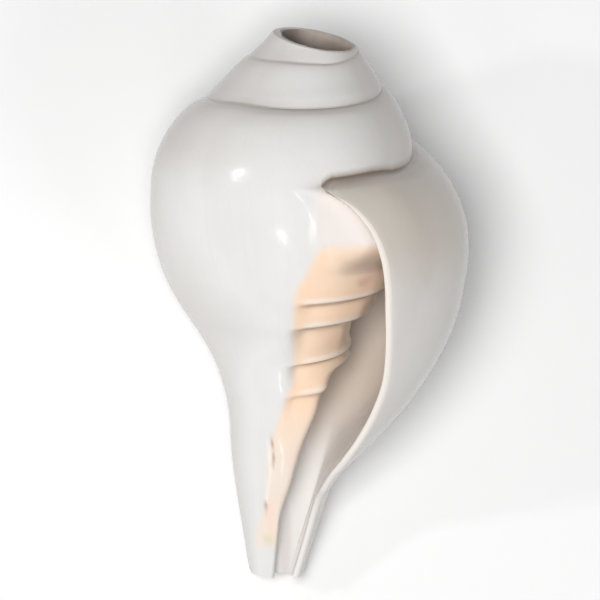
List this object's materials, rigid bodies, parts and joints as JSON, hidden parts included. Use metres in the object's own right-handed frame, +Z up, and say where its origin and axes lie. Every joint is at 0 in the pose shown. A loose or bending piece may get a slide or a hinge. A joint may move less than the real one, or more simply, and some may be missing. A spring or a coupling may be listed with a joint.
{
  "type": "conch shell",
  "caption": "White polished conch shell with the tip sawn off as a blow hole, a spiral passage inside, a ridged peach columella in the mouth and an open canal.",
  "frame": {"origin": "centre of the bounding box in plan, on the floor the shell lies on", "axes": "+Z up, out of the mouth; +Y from the canal towards the sawn tip; +X towards the outer lip. The shell's own axis leans up towards the sawn tip, as it lies."},
  "size_m": [0.0872, 0.1466, 0.0891],
  "materials": {
    "shell": "polished shell"
  },
  "bodies": {
    "root": {"shell": "shell"}
  },
  "joints": []
}
